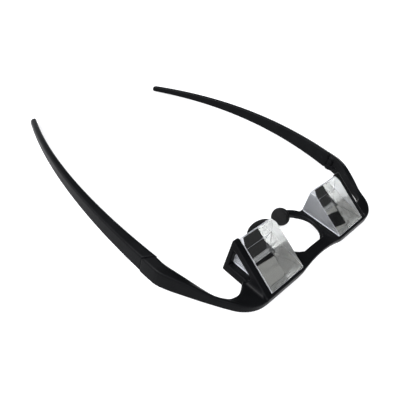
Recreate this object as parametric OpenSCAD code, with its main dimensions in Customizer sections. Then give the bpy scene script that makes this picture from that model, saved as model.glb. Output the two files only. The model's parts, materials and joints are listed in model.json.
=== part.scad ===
// Belay glasses: two glass prisms in a moulded frame with folding side arms.
// +X is the wearer's left, +Y is towards the wearer's ears, +Z is up, millimetres.
// Everything is drawn from the front edge and base plane of the prisms, then set down so that
// the nose pads and the tips of the arms stand on z = 0.

/* [Prisms] */
// width of each prism from side to side
prism_w = 25.8; // [25:0.1:26.4]
// depth of each prism from its front edge to its rear face
prism_d = 24.9; // [24.1:0.1:25.3]
// angle between the base and the sloping entrance face
prism_slope = 30; // [29:0.5:31]
// distance between the centres of the two prisms
eye_dist = 62; // [61.4:0.1:62.6]
// width of the flat ground along the front edge
front_flat = 0.3; // [0.2:0.1:0.5]
// set-back of the flat ground along the upper rear edge
top_flat = 1; // [0.7:0.1:1.2]
// size of the cut across each upper corner
corner_cut = 1.7; // [1:0.1:2.4]
// thickness of the silvered plate under each prism
backing_t = 1.5; // [1.3:0.1:1.6]
// thickness of the film of adhesive
bond_t = 0.15; // [0.1:0.01:0.2]

/* [Front frame] */
// depth of the front bar below the base plane of the prisms
bar_drop = 5; // [4.6:0.1:5.4]
// how far the front lip stands in front of the prism edge
lip_y = 0.9; // [0.8:0.1:1.2]
// radius of the lower edges of bar and trays
edge_r = 1.3; // [0.8:0.1:1.6]
// thickness of the side brackets
bracket_t = 3.9; // [3.4:0.1:4.2]
// width of the legs of the side brackets
leg_w = 3; // [2.7:0.1:3.3]
// rise of the underside of the bridge
bridge_rise = 3.6; // [3.2:0.1:4]
// rise of the top of the bridge
bridge_top = 1.4; // [1:0.1:1.8]
// radius of each side of the nose opening
nose_r = 12; // [11.6:0.1:12.4]
// thickness of the end pieces at the hinge
end_t = 4.9; // [4.6:0.1:5.2]

/* [Nose pads] */
// length of each pad
pad_len = 17.4; // [16.6:0.1:17.8]
// width of each pad
pad_wid = 10.3; // [9.7:0.1:10.6]
// thickness of each pad
pad_t = 2.5; // [2.2:0.1:2.7]
// lean of the pads, top edges closer together
pad_lean = 14; // [12:1:16]
// radius of the peg that carries each pad
peg_r = 1.1; // [0.9:0.05:1.3]

/* [Temples] */
// height of the temple at the hinge
temple_h = 10.8; // [10.2:0.1:11.2]
// height of the temple at its tip
tip_h = 4.2; // [3.9:0.1:4.5]
// how far the temples bow inwards towards their tips
temple_bow = 27.5; // [25:0.5:30]
// drop of the temple tips below the hinge end
temple_drop = 8.8; // [8.4:0.1:9.2]

/* [Hinges] */
// radius of the screw shank that each temple turns on
screw_r = 0.9; // [0.8:0.05:1]
// running clearance round the shank
pivot_gap = 0.05; // [0.03:0.01:0.08]
// radius of the tongue of the temple around the screw
tongue_r = 2.1; // [1.9:0.05:2.2]
// gap between the tongue and the ears that hold it
tongue_gap = 0.15; // [0.1:0.01:0.2]
// gap between the slanted end faces of frame and temple
mitre_gap = 0.3; // [0.2:0.05:0.4]

/* [Hidden] */
$fn = 64;
eye_x = eye_dist / 2;
prism_h = prism_d * tan(prism_slope);
side_in = eye_x - prism_w / 2;
side_out = eye_x + prism_w / 2;
bracket_x0 = side_out + bond_t;
bracket_x1 = bracket_x0 + bracket_t;
floor_z = -backing_t - bond_t;
rim_z = -0.27;
bottom_z = -bar_drop;
tray_rear = prism_d + 0.4;
bracket_rear = tray_rear + 0.4;
leg_drop = 0.2;
window_y = 10.8;
setback = 1.2;
stand_h = 13.9;
tip_y = 177.8;
y_mid = (tip_y - lip_y) / 2;

hinge_x = 76.6;
hinge_y = 40.7;
outer_x = hinge_x + 3.3;
inner_x = outer_x - end_t;
mitre_off = 2.6;
mitre_turn = 40;
slot_lo = -1.75;
slot_hi = 2.05;
boss_r = 2.45;
boss_top = 3.6;
head_r = 1.55;
head_h = 0.9;
head_z = bottom_z + 0.25;
insert_r = 1.5;
insert_top = slot_hi + 1.8;
nose_x = 3.9;
nose_y = 17;
far = 200;

function unit(v) = v / norm(v);
function mix(a, b, t) = a * (1 - t) + b * t;

// one point of a smooth curve through the rows of a list, t counts rows
function on_curve(rows, t) =
    let (n = len(rows) - 1, i = min(floor(t), n - 1), f = t - i,
         b = rows[i], c = rows[i + 1],
         a = i > 0 ? rows[i - 1] : 2 * b - c,
         d = i < n - 1 ? rows[i + 2] : 2 * c - b)
    b + f / 2 * ((c - a) + f * ((2 * a - 5 * b + 4 * c - d) + f * (3 * b - a - 3 * c + d)));

// rounds the corners of a closed outline, k points to a corner
function rounded(pts, r, k) =
    [for (i = [0 : len(pts) - 1])
        let (n = len(pts), q = pts[i], p = pts[(i + n - 1) % n], s = pts[(i + 1) % n],
             a = unit(p - q), b = unit(s - q), half = acos(max(-1, min(1, a * b))) / 2,
             c = q + unit(a + b) * r / sin(half),
             ta = q + a * r / tan(half) - c, tb = q + b * r / tan(half) - c)
        for (j = [0 : k - 1]) c + r * unit(mix(ta, tb, j / (k - 1)))];

// closed skin over rings of equal point count, each ring counter-clockwise seen along the sweep
module loft(rings) {
    n = len(rings[0]);
    m = len(rings);
    skin = [for (s = rings) for (p = s) p];
    ends = [for (s = [rings[0], rings[m - 1]])
        [for (c = [0 : 2]) [for (p = s) 1] * [for (p = s) p[c]] / n]];
    polyhedron(
        points = concat(skin, ends),
        faces = concat(
            [for (j = [0 : m - 2]) for (i = [0 : n - 1])
                [j * n + i, j * n + (i + 1) % n, (j + 1) * n + i]],
            [for (j = [0 : m - 2]) for (i = [0 : n - 1])
                [j * n + (i + 1) % n, (j + 1) * n + (i + 1) % n, (j + 1) * n + i]],
            [for (i = [0 : n - 1]) [m * n, (i + 1) % n, i]],
            [for (i = [0 : n - 1]) [m * n + 1, (m - 1) * n + i, (m - 1) * n + (i + 1) % n]]),
        convexity = 6);
}

// sets everything down on the table, centred front to back
module placed(left) {
    translate([0, -y_mid, stand_h])
        mirror([left ? 0 : 1, 0, 0]) children();
}

// extrudes a side view drawn as (y, z) from x0 to x1
module along_x(x0, x1) {
    translate([x0, 0, 0]) rotate([90, 0, 90]) linear_extrude(x1 - x0) children();
}

// extrudes a front view drawn as (x, z) from y0 to y1
module along_y(y0, y1) {
    translate([0, y1, 0]) rotate([90, 0, 0]) linear_extrude(y1 - y0) children();
}

// outline with true round convex corners
module soft_outline(pts, r) {
    n = len(pts);
    polygon(rounded(pts, r, 2));
    for (i = [0 : n - 1]) {
        q = pts[i];
        a = unit(pts[(i + n - 1) % n] - q);
        b = unit(pts[(i + 1) % n] - q);
        translate(q + unit(a + b) * r / sin(acos(a * b) / 2)) circle(r);
    }
}

// glass prism, left side
module prism_body() {
    t = tan(prism_slope);
    top = (prism_d - top_flat) * t;
    intersection() {
        along_x(side_in, side_out)
            polygon([[front_flat, 0], [prism_d, 0], [prism_d, top - 0.85 * top_flat],
                     [prism_d - top_flat, top], [front_flat, front_flat * t]]);
        along_y(-1, prism_d + 1)
            polygon([[side_in, -1], [side_out, -1], [side_out, top - corner_cut],
                     [side_out - corner_cut, top], [side_in + corner_cut, top],
                     [side_in, top - corner_cut]]);
    }
}

// plate under the prism, silvered on its upper side
module backing_body() {
    translate([side_in + 0.1, front_flat + 0.3, -backing_t])
        cube([prism_w - 0.1, prism_d - front_flat - 0.8, backing_t]);
}

// adhesive between tray and plate, and between prism and bracket
module bond_body() {
    translate([side_in + 0.4, front_flat + 0.5, floor_z])
        cube([prism_w - 0.8, prism_d - front_flat - 1.2, bond_t]);
    along_x(side_out, bracket_x0)
        difference() {
            polygon(bracket_side(0.6));
            polygon(window_side(0.4));
        }
}

// height of the upper edge of the bracket above the base plane
function leg_z(y) = y * tan(prism_slope) - leg_drop;

// side view of the bracket, drawn in by d
function bracket_side(d) =
    [[5, d], [prism_d - d, d], [prism_d - d, leg_z(prism_d - d) - d], [5, leg_z(5) - d]];

// window of the bracket, made larger by d; its front corner is closed above the corner web
function window_side(d) =
    let (t = tan(prism_slope), y0 = window_y - d, y1 = prism_d - 1.8 + d, z0 = floor_z - d,
         s = leg_drop + (leg_w - d) / cos(prism_slope))
    [[y0, z0], [y0, y0 * t - s], [y1, y1 * t - s], [y1, z0]];

// square corner in x and y with its outer corner rounded
module round_corner(x1, y1, r) {
    translate([bracket_x0 - 1, -far]) square([x1 - r - bracket_x0 + 1, far + y1]);
    translate([bracket_x0 - 1, -far]) square([x1 - bracket_x0 + 1, far + y1 - r]);
    translate([x1 - r, y1 - r]) circle(r);
}

// triangular side bracket with rounded outer edges and its bevelled window
module bracket() {
    bevel = 0.35;
    difference() {
        intersection() {
            along_x(bracket_x0, bracket_x1)
                union() {
                    soft_outline([[-lip_y, bottom_z + 0.5], [bracket_rear, bottom_z + 0.5],
                                  [bracket_rear, 3], [-lip_y, -0.7]], 0.45);
                    soft_outline([[-lip_y, leg_z(-lip_y) - 0.1], [2, bottom_z + 0.5],
                                  [bracket_rear, bottom_z + 0.5],
                                  [bracket_rear, leg_z(bracket_rear)]], 1.1);
                }
            translate([0, 0, -leg_drop]) rotate([prism_slope, 0, 0]) along_y(-far, far)
                round_corner(bracket_x1, 0, 0.9);
            translate([0, 0, -far]) linear_extrude(2 * far)
                round_corner(bracket_x1, bracket_rear, 1.1);
        }
        loft([for (x = [bracket_x0 - 1, bracket_x1 - bevel, bracket_x1 + 0.3])
            let (w = rounded(window_side(x < bracket_x1 ? 0 : bevel), 0.35, 4))
            [for (p = w) [x, p[0], p[1]]]]);
        loft([for (x = [bracket_x0 - 0.2, bracket_x0 + bevel])
            let (w = rounded(window_side(x < bracket_x0 ? bevel : 0), 0.35, 4))
            [for (p = w) [x, p[0], p[1]]]]);
    }
}

// hollow fillet that carries the bracket down into the corner web
module saddle() {
    r = 2.7;
    y1 = window_y + 1.6;
    intersection() {
        difference() {
            translate([bracket_x1 - 1, -lip_y + 0.4, -2]) cube([r + 1, 14, r + 1]);
            translate([bracket_x1 + r, 0, -1 + r]) rotate([90, 0, 0])
                cylinder(h = far, r = r, center = true);
        }
        along_x(bracket_x1 - 2, bracket_x1 + 8)
            polygon([[-lip_y + 0.3, -3], [y1, -3], [y1, -1.1], [window_y - 0.8, r - 1],
                     [window_y - 0.8, leg_z(window_y - 0.8) - 0.8],
                     [-lip_y + 0.3, leg_z(-lip_y + 0.3) - 0.8]]);
    }
}

// tray under the prism with round lower edges
module tray() {
    x0 = side_in - 3.4;
    intersection() {
        along_x(x0, bracket_x1)
            soft_outline([[-lip_y, bottom_z], [tray_rear, bottom_z], [tray_rear, rim_z],
                          [-lip_y, rim_z]], 0.9);
        along_y(-lip_y - 1, tray_rear + 1)
            union() {
                translate([x0, bottom_z]) square([bracket_x1 - x0 - edge_r, 6]);
                translate([x0, bottom_z + edge_r]) square([bracket_x1 - x0, 6]);
                translate([bracket_x1 - edge_r, bottom_z + edge_r]) circle(edge_r);
            }
    }
    // lip in front of the prism
    along_x(x0, bracket_x1)
        soft_outline([[-lip_y, -2], [front_flat - 0.3, -2], [front_flat - 0.3, 0.1],
                      [-lip_y, -0.5]], 0.25);
}

// half of the arched bridge
module bridge() {
    span = side_in - 1.4;
    r_top = (span * span + bridge_top * bridge_top) / (2 * bridge_top);
    along_y(-lip_y, 16) {
        translate([0, bottom_z]) square([span + 1.5, bar_drop - 0.3]);
        intersection() {
            translate([0, bottom_z]) square([span, bar_drop + 4]);
            translate([0, bridge_top - 0.3 - r_top]) circle(r_top, $fn = 200);
        }
    }
}

// hollows the bridge from below and sets its front back in a long curve
module bridge_cuts() {
    span = side_in + 5;
    r_low = (span * span + bridge_rise * bridge_rise) / (2 * bridge_rise);
    r_front = (side_in * side_in + setback * setback) / (2 * setback);
    translate([0, -20, bottom_z + bridge_rise - r_low]) rotate([-90, 0, 0])
        cylinder(h = 60, r = r_low, $fn = 200);
    translate([0, -lip_y + setback - r_front, -20])
        cylinder(h = 40, r = r_front, $fn = 200);
}

// waisted wall of the nose opening, round the centre of one side
module opening_wall() {
    translate([0, 0, bottom_z - 1])
        cylinder(h = bar_drop - 0.2, r1 = nose_r + 0.8, r2 = nose_r - 0.9);
    translate([0, 0, -1.3]) cylinder(h = 1.2, r1 = nose_r - 0.95, r2 = nose_r + 0.25);
    translate([0, 0, -0.2]) cylinder(h = 5, r = nose_r + 0.2);
}

// opening for the nose, open to the rear
module nose_opening() {
    front = 5.9;
    intersection() {
        union() {
            for (s = [-1, 1]) translate([s * nose_x, nose_y, 0]) opening_wall();
            translate([-nose_x, nose_y - nose_r - 1, -20])
                cube([2 * nose_x, 2 * nose_r + 4, 40]);
            // clears everything between the pad arms
            translate([-7.2, nose_y, -20]) cube([14.4, 30, 40]);
        }
        translate([-30, front, -20]) cube([60, 40, 40]);
    }
}

// curved arm from the tray to the nose pad
module pad_arm() {
    difference() {
        translate([nose_x, nose_y, 0])
            difference() {
                translate([0, 0, bottom_z + 0.6]) cylinder(h = bar_drop - 1.1, r = nose_r + 2.8);
                opening_wall();
                rotate([0, 0, 6]) translate([-far / 2, -far, -far / 2]) cube(far);
                rotate([0, 0, 70]) translate([-far / 2, 0, -far / 2]) cube(far);
            }
        // underside rises towards the bridge
        along_x(0, side_in + 4)
            polygon([[nose_y - 8, bottom_z - 1], [nose_y + 7, bottom_z - 1],
                     [nose_y + 7, bottom_z + 0.7], [nose_y + 1, bottom_z + 1.9],
                     [nose_y - 8, bottom_z + 1.9]]);
        pad_place() translate([-far / 2, -far / 2, pad_t / 2 + 0.05 - 8]) cube([far, far, 8]);
    }
}

pad_c = [9.3, 31.3, -6.07];
pad_splay = -9.5;
pad_tilt = 29;
peg_up = -2.2;

// frame of a pad: local x along the pad, local z away from the nose
module pad_place() {
    translate(pad_c) rotate([0, 0, pad_splay]) rotate([0, 90 - pad_lean, 0])
        rotate([0, 0, pad_tilt]) children();
}

// soft oval pad, pillow shaped, with the pocket for its peg
module pad_body() {
    n = 28;
    difference() {
        pad_place()
            loft([for (j = [0 : 8])
                let (a = -90 + j * 22.5, in = (1 - cos(a)) * pad_t * 0.5)
                [for (i = [0 : n - 1])
                    let (w = i * 360 / n)
                    [(pad_len / 2 - in) * cos(w), -(pad_wid / 2 - in) * sin(w),
                     sin(a) * pad_t / 2 - 0.004 * pow((pad_len / 2 - in) * cos(w), 2)]]]);
        peg(0.03);
    }
}

// peg on the frame that the pad is pushed on
module peg(grow) {
    pad_place() translate([peg_up, 0, -0.3 - grow]) cylinder(h = pad_t, r = peg_r + grow);
}

// small foot that joins the arm to the back of the pad
module peg_foot() {
    pad_place() translate([peg_up, 0, pad_t / 2 + 0.05]) cylinder(h = 1.7, r = 2.4);
}

// outer edge of corner web and end piece from above: distance in from the hinge end, and y
web_outer = [[35.35, -lip_y], [29, -0.5], [23.9, 1.3], [19.6, 4.5], [16.4, 8.6], [12.6, 14.4],
             [9, 20.3], [5.7, 26], [2.6, 31.5], [0.4, 36.8], [0, 42.5], [0, 49]];
// inner edge in the same way
web_inner = [[30.45, 15.5], [23.9, 11.6], [19.6, 9.8], [16.1, 10.1], [13.4, 11.3],
             [9.9, 15.9], [7, 22.1], [4.1, 28], [1.5, 33.6], [0.1, 38.4], [0, 42.9], [0, 49]];
// height of the outer ridge and of the inner edge
web_ridge = [-0.7, -0.7, -0.4, 0.1, 0.7, 1.5, 2.5, 3.1, 3.5, 3.5, 3.6, 3.6];
web_top = [-0.7, -0.8, -0.9, -1, -1.1, -1.2, 0.3, 2.7, 4.7, 5.5, 5.8, 5.8];

// web and end piece in one sweep from bracket to hinge
module end_piece() {
    start = bracket_x0 + 0.5;
    rows = [for (i = [0 : len(web_outer) - 1])
        [outer_x - web_outer[i][0] * (outer_x - start) / web_outer[0][0], web_outer[i][1],
         inner_x - web_inner[i][0] * (inner_x - start) / web_inner[0][0], web_inner[i][1],
         web_ridge[i], web_top[i]]];
    steps = 3 * (len(rows) - 1);
    loft([for (k = [0 : steps])
        let (q = on_curve(rows, k * (len(rows) - 1) / steps),
             o = [q[0], q[1]], v = [q[2], q[3]] - o, w = norm(v), e = v / w,
             s = rounded([[0, bottom_z], [0, q[4]], [w, q[5]], [w, bottom_z]], 0.8, 4))
        [for (p = s) [o[0] + e[0] * p[0], o[1] + e[1] * p[0], p[1]]]]);
}

// everything behind the slanted parting line, moved back by d
module behind_mitre(d) {
    translate([hinge_x, hinge_y, 0]) rotate([0, 0, mitre_turn])
        translate([-20, mitre_off + d, -20]) cube([40, far, 40]);
}

// space in which the tongue turns
module tongue_space() {
    translate([hinge_x, hinge_y, slot_lo]) {
        cylinder(h = slot_hi - slot_lo, r = tongue_r + 0.25);
        translate([-8, 0, 0]) cube([8 + tongue_r + 0.25, 12, slot_hi - slot_lo]);
        translate([-8, -tongue_r - 0.25, 0]) cube([8, 12, slot_hi - slot_lo]);
    }
}

// hinge end of the frame: ears, screw hole, recess for the head and for the insert
module hinge_cuts() {
    behind_mitre(0);
    tongue_space();
    translate([hinge_x, hinge_y, bottom_z - 1]) cylinder(h = slot_lo - bottom_z + 2, r = screw_r);
    translate([hinge_x, hinge_y, bottom_z - 1])
        cylinder(h = head_z + head_h - bottom_z + 1, r = head_r + 0.1);
    translate([hinge_x, hinge_y, slot_hi - 1]) cylinder(h = insert_top - slot_hi + 1, r = insert_r);
    // shallow round mark on the inner face in front of the hinge
    translate([inner_x + 0.3, 36.1, -1.9]) rotate([0, -90, 0]) cylinder(h = 6, r = 1.3);
}

module frame_half() {
    difference() {
        union() {
            difference() {
                union() {
                    tray();
                    bridge();
                }
                nose_opening();
                bridge_cuts();
            }
            bracket();
            saddle();
            pad_arm();
            peg_foot();
            peg(0);
            difference() {
                union() {
                    end_piece();
                    translate([hinge_x, hinge_y, bottom_z + 0.1])
                        cylinder(h = boss_top - bottom_z - 0.1, r = boss_r);
                }
                hinge_cuts();
            }
        }
        // seat of the prism and pocket of its plate stay clear
        translate([side_in, front_flat - 0.05, rim_z])
            cube([prism_w + bond_t, prism_d + 4, prism_h + 10]);
        translate([side_in, front_flat + 0.2, floor_z])
            cube([prism_w + bond_t, prism_d - front_flat - 0.6, 3]);
    }
}

module front_frame() {
    color([0.07, 0.07, 0.08]) union() {
        placed(true) frame_half();
        placed(false) frame_half();
    }
}

// values along the temple, u = 0 at the hinge and 1 at the tip
function temple_x(u) = outer_x - 0.4 + 7.5 * u - (7.5 + temple_bow) * u * u;
function temple_z(u) = bottom_z - 0.1 + 7.6 * u - (7.5 + temple_drop) * u * u;
function temple_t(u) = 5.0 - 4.4 * u + 3.1 * u * u;
function temple_top(u) = mix(temple_h, tip_h, u);
function temple_edge(u) = mix(8.8, 3.8, u);

// side arm as one sweep with a round tip
module temple_body() {
    y0 = 41;
    len = tip_y - 1.4 - 42;
    n = 26;
    difference() {
        loft(concat(
            [for (k = [0 : n])
                let (u = (y0 - 42) / len + k / n * (1 - (y0 - 42) / len)) temple_ring(u, 0)],
            [for (a = [25, 50, 70, 82]) temple_ring(1, a)]));
        difference() {
            translate([hinge_x - 20, y0 - 10, -20]) cube([40, 20, 40]);
            behind_mitre(mitre_gap);
        }
    }
}

// one ring of the temple; a turns it into the round end
function temple_ring(u, a) =
    let (t = temple_t(u), h = temple_top(u), e = temple_edge(u), c = cos(a), w = 1.4 * sin(a),
         y = 42 + (tip_y - 1.4 - 42) * u + w, x = temple_x(u) - w * 0.45, z = temple_z(u) - w * 0.12,
         r = min(0.9 + 0.4 * u, 0.46 * t),
         s = rounded([[0, 0], [0, e], [-t, h], [-t, 0]], r, 4))
    [for (p = s) [x + mix(-t / 2, p[0], c), y, z + mix(h / 2, p[1], c)]];

module temple() {
    difference() {
        union() {
            temple_body();
            // tongue between the ears of the frame
            translate([hinge_x, hinge_y, slot_lo + tongue_gap]) {
                cylinder(h = slot_hi - slot_lo - 2 * tongue_gap, r = tongue_r);
                translate([-1.4, 0, 0]) cube([1.4 + tongue_r, 7, slot_hi - slot_lo - 2 * tongue_gap]);
            }
        }
        translate([hinge_x, hinge_y, -10]) cylinder(h = 20, r = screw_r + pivot_gap);
    }
}

// steel screw, head below
module screw_body() {
    difference() {
        translate([hinge_x, hinge_y, 0]) union() {
            translate([0, 0, head_z]) cylinder(h = head_h, r = head_r);
            translate([0, 0, head_z + head_h / 2])
                cylinder(h = insert_top - 0.15 - head_z - head_h / 2, r = screw_r);
        }
        for (a = [0, 90])
            translate([hinge_x, hinge_y, head_z]) rotate([0, 0, a])
                translate([-0.2, -1.1, -0.1]) cube([0.4, 2.2, 0.55]);
    }
}

// brass bush in the upper ear
module insert_body() {
    translate([hinge_x, hinge_y, slot_hi])
        difference() {
            cylinder(h = insert_top - slot_hi, r = insert_r);
            translate([0, 0, -1]) cylinder(h = 10, r = screw_r);
        }
}

module prism_right() { color([0.75, 0.8, 0.85, 0.5]) placed(false) prism_body(); }
module prism_left() { color([0.75, 0.8, 0.85, 0.5]) placed(true) prism_body(); }
module mirror_backing_right() { color([0.6, 0.62, 0.65]) placed(false) backing_body(); }
module mirror_backing_left() { color([0.6, 0.62, 0.65]) placed(true) backing_body(); }
module prism_bond_right() { color([0.3, 0.3, 0.3]) placed(false) bond_body(); }
module prism_bond_left() { color([0.3, 0.3, 0.3]) placed(true) bond_body(); }
module nose_pad_right() { color([0.1, 0.1, 0.1]) placed(false) pad_body(); }
module nose_pad_left() { color([0.1, 0.1, 0.1]) placed(true) pad_body(); }
module temple_right() { color([0.08, 0.08, 0.09]) placed(false) temple(); }
module temple_left() { color([0.08, 0.08, 0.09]) placed(true) temple(); }
module hinge_screw_right() { color([0.7, 0.7, 0.7]) placed(false) screw_body(); }
module hinge_screw_left() { color([0.7, 0.7, 0.7]) placed(true) screw_body(); }
module hinge_insert_right() { color([0.8, 0.65, 0.3]) placed(false) insert_body(); }
module hinge_insert_left() { color([0.8, 0.65, 0.3]) placed(true) insert_body(); }

front_frame();
prism_right();
prism_left();
mirror_backing_right();
mirror_backing_left();
prism_bond_right();
prism_bond_left();
nose_pad_right();
nose_pad_left();
temple_right();
temple_left();
hinge_screw_right();
hinge_screw_left();
hinge_insert_right();
hinge_insert_left();
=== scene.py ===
import json
import math

import bmesh
import bpy
import numpy as np
from mathutils import Matrix, Vector


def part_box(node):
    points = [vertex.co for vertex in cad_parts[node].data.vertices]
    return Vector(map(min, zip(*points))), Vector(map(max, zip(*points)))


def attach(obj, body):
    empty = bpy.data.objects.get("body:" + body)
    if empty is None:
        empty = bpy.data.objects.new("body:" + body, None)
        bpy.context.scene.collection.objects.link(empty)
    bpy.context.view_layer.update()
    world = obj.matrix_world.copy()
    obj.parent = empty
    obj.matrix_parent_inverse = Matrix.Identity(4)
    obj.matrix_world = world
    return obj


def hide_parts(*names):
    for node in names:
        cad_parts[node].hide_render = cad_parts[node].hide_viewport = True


# belay glasses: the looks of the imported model, with eased edges on its moulded pieces and pads,
# bevelled glass prisms, and a studio round them
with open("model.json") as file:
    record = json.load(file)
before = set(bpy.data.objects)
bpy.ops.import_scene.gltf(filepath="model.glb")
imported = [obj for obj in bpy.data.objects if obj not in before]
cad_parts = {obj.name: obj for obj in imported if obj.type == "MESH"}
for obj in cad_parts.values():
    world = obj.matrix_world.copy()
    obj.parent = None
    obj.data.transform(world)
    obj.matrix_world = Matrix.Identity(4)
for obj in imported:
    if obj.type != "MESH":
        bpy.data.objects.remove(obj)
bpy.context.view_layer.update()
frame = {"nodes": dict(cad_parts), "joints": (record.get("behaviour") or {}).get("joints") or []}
NODES = frame["nodes"]
MM = 0.001

# places on the left half in millimetres, read from the frame; the right half mirrors them
GLASS_LO, GLASS_HI = ([round(v / MM, 3) for v in corner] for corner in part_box("prism_left"))
GLASS_MIDDLE = (GLASS_LO[0] + GLASS_HI[0]) / 2
LEFT_FOLD = {joint["name"]: joint for joint in frame["joints"]}["temple_left_fold"]
HINGE = [v / MM for v in LEFT_FOLD["pos_m"]]

# mesh corners closer than this are one corner, in metres
WELD = 1e-6

# fine remesh of the moulded pieces, in millimetres, and the strength of one smoothing pass; the
# swelling passes give back the girth that the easing passes take
FRAME_VOXEL, PAD_VOXEL = 0.3, 0.25
EASE, SWELL = 0.5, -0.53
FRAME_PASSES, PAD_PASSES = 5, 6
TEMPLE_PASSES, TEMPLE_SWELLS = 6, 5

# room kept for the glass in the eased frame, in millimetres: the margin round the seat, the bond
# beside the glass, and the top of the tray rims, measured up from the underside of the glass
SEAT_MARGIN, BOND, RIM_TOP = 0.2, 0.15, -0.27
# heights between which a point of the frame belongs to a rim, from the underside of the glass
RIM_LO, RIM_HI = -0.8, 0.33
# distances between which a point belongs to the bracket wall, from the outer side of the glass
WALL_LO, WALL_HI = -0.6, 0.3

# the hinge tongue of a temple: how far it reaches from the middle of its hinge to the side and
# up, in millimetres, and the share of its height that stays
TONGUE_REACH, TONGUE_HALF, TONGUE_KEPT = 2.7, 1.9, 0.93

# widest bevel on the edges of the glass, and the trace of air under and beside it, in millimetres
BEVEL, AIR_UNDER, AIR_BESIDE = 0.14, 0.02, 0.06
# points this close to the underside or to a side of the glass belong to it, in millimetres
NEAR_UNDERSIDE, NEAR_SIDE = 0.01, 0.05
# every main face of the glass is larger than the first area, and its upper flat lies between the
# two, in square millimetres
MAIN_FACE, UPPER_FLAT = 40, 20
# share of a face's normal along an axis: more than the first where the face looks that way, more
# than the second where it slants that way, less than the third where it is square to it
FACING, SLANTED, SQUARE = 0.9, 0.6, 0.1
# faces of the CAD solid that turn less than this many degrees are one face
ONE_FACE_TURN = 1

# refractive index of the glass, and the values between which most of a noise texture lies
GLASS_IOR = 1.52
NOISE_LO, NOISE_HI = 0.3, 0.7

# floor: half its width and how far it lies under the part, in metres, and how strongly it glows
FLOOR_REACH, FLOOR_DROP, FLOOR_GLOW = 3.0, 0.0006, 0.78

# one soft lamp high on the wearer's right, in metres and watts
LAMP_PLACE, LAMP_SIZE, LAMP_POWER = (-0.80, 0.20, 0.80), 0.35, 19

# studio light as seen from the glasses. Each light area has the way to its middle, the cosines of
# the angles from that way at which it begins and is full, and its strength
CARD = ((-0.745, -0.27, 0.61), 0.80, 0.96, 6.3)
RIGHT_WALL = ((-0.9, 0.1, 0.42), 0.0, 0.8, 1.1)
REAR_PATCH = ((-0.708, 0.684, 0.174), 0.7, 0.96, 5.2)
# colour of all studio light, and its strength away from these areas
STUDIO_COLOUR, DIM = (0.93, 0.945, 1.0, 1), 0.13
# pale band round the horizon: where it begins, is full, starts to fade and ends, as sines of the
# angle above the horizon, and its strength
HORIZON_HEIGHTS, HORIZON_STRENGTH = (-0.10, -0.03, 0.20, 0.27), 1.95

# camera at the photograph's angle, from the fitted view, in front of the glasses, above them and
# on the wearer's right: place and clipping in metres, angles in degrees, lens in millimetres
CAMERA_PLACE = (-0.18519, -0.13013, 0.16668)
CAMERA_HEADING, CAMERA_TILT, CAMERA_ROLL = -57.004, 51.162, 16.219
CAMERA_LENS, CAMERA_SENSOR = 42.453, 36.0
CAMERA_NEAR, CAMERA_FAR = 0.01, 20.0


# sets a node's inputs: a socket is linked, anything else is its value
def feed(tree, target, inputs):
    for key, value in inputs.items():
        if isinstance(value, bpy.types.NodeSocket):
            tree.links.new(value, target.inputs[key])
        else:
            target.inputs[key].default_value = value


def node(tree, kind, inputs, **settings):
    made = tree.nodes.new(kind)
    for key, value in settings.items():
        setattr(made, key, value)
    feed(tree, made, inputs)
    return made


# an empty material, its node tree and the object coordinates that its textures use
def blank(name):
    material = bpy.data.materials.new(name)
    material.use_nodes = True
    tree = material.node_tree
    tree.nodes.clear()
    place = tree.nodes.new("ShaderNodeTexCoord").outputs["Object"]
    return material, tree, place


def principled(tree, inputs):
    return node(tree, "ShaderNodeBsdfPrincipled", inputs).outputs[0]


def finished(material, surface):
    node(material.node_tree, "ShaderNodeOutputMaterial", {"Surface": surface})
    return material


def noise(tree, place, scale, detail=3.0, rough=0.5):
    inputs = {"Vector": place, "Scale": scale, "Detail": detail, "Roughness": rough}
    return node(tree, "ShaderNodeTexNoise", inputs).outputs[0]


# a noise value spread between two values
def spread(tree, value, lo, hi):
    inputs = {"Value": value, "From Min": NOISE_LO, "From Max": NOISE_HI, "To Min": lo, "To Max": hi}
    return node(tree, "ShaderNodeMapRange", inputs).outputs[0]


# a colour that a noise value moves from one tone to another
def two_tones(tree, value, first, last, start=0.0, end=1.0):
    ramp = node(tree, "ShaderNodeValToRGB", {"Fac": value})
    for element, colour, position in zip(ramp.color_ramp.elements, (first, last), (start, end)):
        element.position = position
        element.color = (*colour, 1)
    return ramp.outputs[0]


def bump(tree, height, strength, depth):
    inputs = {"Height": height, "Strength": strength, "Distance": depth}
    return node(tree, "ShaderNodeBump", inputs).outputs[0]


# satin moulded plastic: fine spark-eroded grain and soft flow mottling
def plastic():
    material, tree, place = blank("moulded_plastic")
    grain = noise(tree, place, scale=5200.0, detail=2.0, rough=0.6)
    cells = node(tree, "ShaderNodeTexVoronoi", {"Vector": place, "Scale": 3600.0}).outputs[0]
    flow = noise(tree, place, scale=90.0, detail=4.0, rough=0.55)
    skin = node(tree, "ShaderNodeMath", {0: grain, 1: cells}, operation="ADD").outputs[0]
    dark, light = (0.0018, 0.0019, 0.0021), (0.0030, 0.0031, 0.0034)
    return finished(material, principled(tree, {
        "Base Color": two_tones(tree, flow, dark, light, start=0.3, end=0.75),
        "Roughness": spread(tree, flow, 0.30, 0.38),
        "Specular IOR Level": 0.025,
        "Normal": bump(tree, skin, strength=0.16, depth=0.00005)}))


# polished optical glass with the faintest waviness
def glass():
    material, tree, place = blank("optical_glass")
    wave = noise(tree, place, scale=160.0, detail=2.0, rough=0.4)
    return finished(material, principled(tree, {
        "Base Color": (0.985, 0.99, 0.99, 1),
        "Roughness": spread(tree, wave, 0.0, 0.012),
        "Transmission Weight": 1.0,
        "IOR": GLASS_IOR}))


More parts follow.
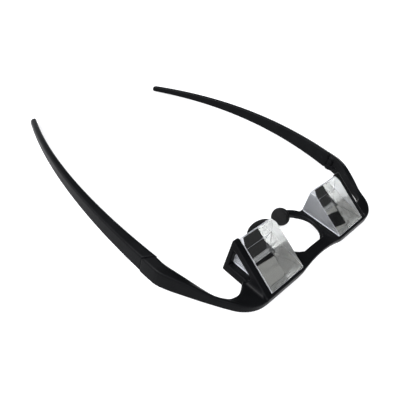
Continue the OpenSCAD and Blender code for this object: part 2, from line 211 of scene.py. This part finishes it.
# finely ground side of the glass, mostly seen from inside it: light is scattered as it turns back.
# glow is the share of the surface that lets light through evenly, as a ground edge does
def frosted(name, clear, rough, glow=0.0):
    material, tree, place = blank(name)
    grain = noise(tree, place, scale=2400.0, detail=3.0, rough=0.6)
    smoothest, roughest = rough - 0.006, rough + 0.006
    surface = principled(tree, {
        "Base Color": (0.91, 0.93, 0.97, 1),
        "Roughness": spread(tree, grain, smoothest, roughest),
        "Transmission Weight": clear,
        "IOR": GLASS_IOR})
    if glow:
        even = node(tree, "ShaderNodeBsdfTranslucent", {"Color": (0.93, 0.95, 0.99, 1)}).outputs[0]
        surface = node(tree, "ShaderNodeMixShader", {0: glow, 1: surface, 2: even}).outputs[0]
    return finished(material, surface)


# finely ground bevel of the glass, grey
def ground():
    material, tree, place = blank("ground_glass")
    grain = noise(tree, place, scale=3000.0, detail=3.0, rough=0.6)
    cloud = noise(tree, place, scale=120.0, detail=4.0, rough=0.6)
    dark, light = (0.20, 0.205, 0.215), (0.26, 0.265, 0.275)
    return finished(material, principled(tree, {
        "Base Color": two_tones(tree, cloud, dark, light, start=0.3, end=0.7),
        "Roughness": 0.55,
        "Normal": bump(tree, grain, strength=0.3, depth=0.00003)}))


# silvering seen through the glass
def silver():
    material, tree, place = blank("silvered_mirror")
    cloud = noise(tree, place, scale=300.0, detail=2.0)
    return finished(material, principled(tree, {
        "Base Color": (0.181, 0.182, 0.170, 1),
        "Roughness": spread(tree, cloud, 0.01, 0.03),
        "Metallic": 1.0}))


# plate under the prism, light grey as its ground edges are
def backing():
    material, tree, place = blank("backing_paint")
    cloud = noise(tree, place, scale=900.0)
    return finished(material, principled(tree, {
        "Base Color": two_tones(tree, cloud, (0.30, 0.31, 0.33), (0.36, 0.37, 0.39)),
        "Roughness": 0.4}))


# cured black adhesive with an uneven surface
def glue():
    material, tree, place = blank("black_adhesive")
    cloud = noise(tree, place, scale=700.0)
    return finished(material, principled(tree, {
        "Base Color": (0.006, 0.006, 0.007, 1),
        "Roughness": spread(tree, cloud, 0.3, 0.5),
        "Normal": bump(tree, cloud, strength=0.3, depth=0.0001)}))


# soft matte pad with a velvety skin
def rubber():
    material, tree, place = blank("soft_pad")
    grain = noise(tree, place, scale=2600.0, detail=3.0, rough=0.6)
    cloud = noise(tree, place, scale=240.0)
    return finished(material, principled(tree, {
        "Base Color": two_tones(tree, cloud, (0.001, 0.001, 0.0011), (0.0018, 0.0018, 0.002)),
        "Roughness": spread(tree, cloud, 0.55, 0.68),
        "Specular IOR Level": 0.07,
        "Sheen Weight": 0.008,
        "Sheen Roughness": 0.4,
        "Normal": bump(tree, grain, strength=0.22, depth=0.00008)}))


# turned metal with fine marks round its upright axis
def metal(name, colour, rough):
    material, tree, place = blank(name)
    squeeze = {"Vector": place, "Scale": (1.0, 1.0, 9.0)}
    stretched = node(tree, "ShaderNodeMapping", squeeze).outputs[0]
    marks = noise(tree, stretched, scale=1800.0, detail=3.0, rough=0.6)
    smoothest, roughest = rough - 0.06, rough + 0.08
    return finished(material, principled(tree, {
        "Base Color": (*colour, 1),
        "Roughness": spread(tree, marks, smoothest, roughest),
        "Metallic": 1.0,
        "Normal": bump(tree, marks, strength=0.12, depth=0.00004)}))


# plain pale floor that glows enough to stay white
def pale_floor():
    material, tree, place = blank("pale_floor")
    cloud = noise(tree, place, scale=6.0, detail=2.0)
    return finished(material, principled(tree, {
        "Base Color": two_tones(tree, cloud, (0.30, 0.30, 0.304), (0.31, 0.31, 0.314)),
        "Roughness": 0.9,
        "Specular IOR Level": 0.0,
        "Emission Color": (1, 1, 1, 1),
        "Emission Strength": FLOOR_GLOW}))


PLASTIC, GLASS, GROUND, SILVER = plastic(), glass(), ground(), silver()
FROST_IN = frosted("frosted_inner_side", clear=0.95, rough=0.28)
FROST_OUT = frosted("frosted_outer_side", clear=0.84, rough=0.25)
FROST_EDGE = frosted("frosted_edge", clear=0.95, rough=0.3, glow=0.6)
PRISM_LOOKS = (GLASS, GROUND, SILVER, FROST_IN, FROST_OUT, FROST_EDGE)
BACKING, GLUE, RUBBER = backing(), glue(), rubber()
STEEL = metal("turned_steel", (0.56, 0.56, 0.57), rough=0.3)
BRASS = metal("turned_brass", (0.74, 0.55, 0.25), rough=0.28)


def add_object(name, data):
    obj = bpy.data.objects.new(name, data)
    bpy.context.scene.collection.objects.link(obj)
    return obj


def paint(obj, *looks):
    obj.data.materials.clear()
    for look in looks:
        obj.data.materials.append(look)


def copy_of(name, new_name):
    mesh = NODES[name].data.copy()
    mesh.name = new_name
    return add_object(new_name, mesh)


# the object's mesh for editing, with doubled corners joined
def open_mesh(obj):
    bm = bmesh.new()
    bm.from_mesh(obj.data)
    bmesh.ops.remove_doubles(bm, verts=bm.verts, dist=WELD)
    return bm


def store_mesh(bm, obj):
    bm.to_mesh(obj.data)
    bm.free()


def apply_modifiers(obj):
    bpy.context.view_layer.update()
    graph = bpy.context.evaluated_depsgraph_get()
    mesh = bpy.data.meshes.new_from_object(obj.evaluated_get(graph))
    old = obj.data
    obj.modifiers.clear()
    obj.data = mesh
    bpy.data.meshes.remove(old)


# a copy of a CAD solid with moulded fillets on every edge: a fine remesh, smoothed
def eased(name, new_name, voxel, passes, swells=0):
    obj = copy_of(name, new_name)
    store_mesh(open_mesh(obj), obj)
    remesh = obj.modifiers.new("remesh", "REMESH")
    remesh.mode = "VOXEL"
    remesh.voxel_size = voxel * MM
    for label, factor, count in (("ease", EASE, passes), ("swell", SWELL, swells)):
        if count:
            smooth = obj.modifiers.new(label, "SMOOTH")
            smooth.factor = factor
            smooth.iterations = count
    apply_modifiers(obj)
    obj.data.shade_smooth()
    return obj


# the points in millimetres, with the right half folded onto the left one
def on_left(points):
    return np.abs(points[:, 0]) / MM, points[:, 1] / MM, points[:, 2] / MM


# keeps the eased frame clear of the glass: the tray rims under it, the bracket walls beside it
def clear_seats(points):
    x, y, z = on_left(points)
    height = z - GLASS_LO[2]
    beside = x - GLASS_HI[0]
    along = (y > GLASS_LO[1]) & (y < GLASS_HI[1] + SEAT_MARGIN)
    under = along & (x > GLASS_LO[0] - SEAT_MARGIN) & (beside < BOND)
    rim = under & (height > RIM_LO) & (height < RIM_HI)
    points[rim, 2] = (GLASS_LO[2] + np.minimum(height[rim], RIM_TOP)) * MM
    wall = along & (beside > WALL_LO) & (beside < WALL_HI) & (height > 0)
    side = np.sign(points[wall, 0])
    points[wall, 0] = side * (GLASS_HI[0] + np.maximum(beside[wall], BOND)) * MM


# keeps the eased hinge tongue clear of the slot it turns in
def clear_tongue(points):
    x, y, z = on_left(points)
    height = z - HINGE[2]
    near = np.hypot(x - HINGE[0], y - HINGE[1]) < TONGUE_REACH
    tongue = near & (np.abs(height) < TONGUE_HALF)
    points[tongue, 2] = (HINGE[2] + TONGUE_KEPT * height[tongue]) * MM


# moulded plastic piece, kept inside the box of its CAD solid and clear of its neighbours
def moulded(name, passes, swells, keep_clear):
    obj = eased(name, name + "_moulded", FRAME_VOXEL, passes, swells)
    points = np.zeros(len(obj.data.vertices) * 3)
    obj.data.vertices.foreach_get("co", points)
    points = points.reshape(-1, 3)
    keep_clear(points)
    lowest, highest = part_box(name)
    points = np.clip(points, np.array(lowest), np.array(highest))
    obj.data.vertices.foreach_set("co", points.ravel())
    obj.data.update()
    paint(obj, PLASTIC)
    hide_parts(name)
    return obj


# the look of one face of the glass: polished slope and rear, silvered underside, frosted sides,
# upper flat and cut corners, ground bevels
def prism_look(face):
    across, back, up = face.normal
    area = face.calc_area() / MM ** 2
    big = area > MAIN_FACE
    inner = abs(face.calc_center_median().x) / MM < GLASS_MIDDLE
    corner_cut = abs(across) > SLANTED and up > SLANTED and abs(back) < SQUARE
    if big and up < -FACING:
        return SILVER
    if big and abs(across) > FACING:
        return FROST_IN if inner else FROST_OUT
    if UPPER_FLAT < area < MAIN_FACE or corner_cut:
        return FROST_EDGE
    return GLASS if big else GROUND


# moves the sides and underside of the glass in, so that a trace of air parts it from its bonds
def leave_air(bm):
    for vert in bm.verts:
        if vert.co.z / MM < GLASS_LO[2] + NEAR_UNDERSIDE:
            vert.co.z += AIR_UNDER * MM
        x = abs(vert.co.x) / MM
        if x < GLASS_LO[0] + NEAR_SIDE:
            x += AIR_BESIDE
        elif x > GLASS_HI[0] - NEAR_SIDE:
            x -= AIR_BESIDE
        vert.co.x = math.copysign(x * MM, vert.co.x)


# glass prism with a bevel on every edge
def prism(name):
    obj = copy_of(name, name + "_glass")
    paint(obj, *PRISM_LOOKS)
    bm = open_mesh(obj)
    bmesh.ops.dissolve_limit(bm, angle_limit=math.radians(ONE_FACE_TURN), verts=bm.verts,
                             edges=bm.edges)
    bm.normal_update()
    bmesh.ops.bevel(bm, geom=list(bm.edges), offset=BEVEL * MM, offset_type="OFFSET", segments=1,
                    profile=0.5, affect="EDGES", clamp_overlap=True)
    bm.normal_update()
    for face in bm.faces:
        face.material_index = PRISM_LOOKS.index(prism_look(face))
        face.smooth = False
    leave_air(bm)
    bm.normal_update()
    store_mesh(bm, obj)
    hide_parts(name)
    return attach(obj, "front")


# soft nose pad: the CAD solid eased into a smooth pillow
def pad(name):
    obj = eased(name, name + "_soft", PAD_VOXEL, PAD_PASSES)
    paint(obj, RUBBER)
    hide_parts(name)
    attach(obj, "front")
    return obj


# square floor under the part
def floor():
    mesh = bpy.data.meshes.new("floor")
    signs = ((-1, -1), (1, -1), (1, 1), (-1, 1))
    corners = [(FLOOR_REACH * x, FLOOR_REACH * y, 0) for x, y in signs]
    mesh.from_pydata(corners, [], [(0, 1, 2, 3)])
    obj = add_object("floor", mesh)
    obj.location.z = -FLOOR_DROP
    paint(obj, pale_floor())


# square lamp that points at the origin, on the table under the middle of the part
def lamp(name, place, size, power):
    data = bpy.data.lights.new(name, "AREA")
    data.shape = "SQUARE"
    data.size = size
    data.energy = power
    obj = add_object(name, data)
    obj.location = place
    obj.rotation_mode = "QUATERNION"
    obj.rotation_quaternion = (-Vector(place)).to_track_quat("-Z", "Y")


# soft studio light: a card round the camera, a wall on the wearer's right, a patch low behind on the
# same side and a band along the horizon, with dim light from everywhere else
def surroundings():
    world = bpy.data.worlds.new("studio")
    bpy.context.scene.world = world
    world.use_nodes = True
    tree = world.node_tree
    way = tree.nodes.new("ShaderNodeTexCoord").outputs["Generated"]

    def area(middle, begins, full, strength, elsewhere=0.0):
        facing = node(tree, "ShaderNodeVectorMath", {0: way, 1: middle}, operation="DOT_PRODUCT")
        inputs = {"Value": facing.outputs["Value"], "From Min": begins, "From Max": full,
                  "To Min": elsewhere, "To Max": strength}
        return node(tree, "ShaderNodeMapRange", inputs, interpolation_type="SMOOTHSTEP").outputs[0]

    def combined(operation, first, second):
        return node(tree, "ShaderNodeMath", {0: first, 1: second}, operation=operation).outputs[0]

    up = (0, 0, 1)
    rise, top, fade, end = HORIZON_HEIGHTS
    band = combined("MULTIPLY", area(up, rise, top, 1.0), area(up, fade, end, 0.0, elsewhere=1.0))
    strength = combined("MULTIPLY", band, HORIZON_STRENGTH)
    for light in (area(*CARD), area(*RIGHT_WALL, elsewhere=DIM), area(*REAR_PATCH)):
        strength = combined("MAXIMUM", strength, light)
    feed(tree, tree.nodes["Background"], {"Color": STUDIO_COLOUR, "Strength": strength})


def camera():
    data = bpy.data.cameras.new("camera")
    data.sensor_width = CAMERA_SENSOR
    data.lens = CAMERA_LENS
    data.clip_start = CAMERA_NEAR
    data.clip_end = CAMERA_FAR
    obj = add_object("camera", data)
    turn = Matrix.Translation(CAMERA_PLACE)
    for angle, axis in ((CAMERA_HEADING, "Z"), (CAMERA_TILT, "X"), (CAMERA_ROLL, "Z")):
        turn = turn @ Matrix.Rotation(math.radians(angle), 4, axis)
    obj.matrix_world = turn
    bpy.context.scene.camera = obj


front = moulded("front_frame", FRAME_PASSES, 0, clear_seats)
arm_right = moulded("temple_right", TEMPLE_PASSES, TEMPLE_SWELLS, clear_tongue)
arm_left = moulded("temple_left", TEMPLE_PASSES, TEMPLE_SWELLS, clear_tongue)
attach(front, "front")
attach(arm_right, "right_arm")
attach(arm_left, "left_arm")

for side in ("right", "left"):
    prism("prism_" + side)
    paint(NODES["mirror_backing_" + side], BACKING)
    paint(NODES["prism_bond_" + side], GLUE)
    paint(NODES["hinge_screw_" + side], STEEL)
    paint(NODES["hinge_insert_" + side], BRASS)

pad("nose_pad_right")
pad("nose_pad_left")

floor()
lamp("side", LAMP_PLACE, LAMP_SIZE, LAMP_POWER)
surroundings()
camera()
# plain colours, with no film look
bpy.context.scene.view_settings.view_transform = "Standard"
bpy.context.scene.view_settings.look = "None"
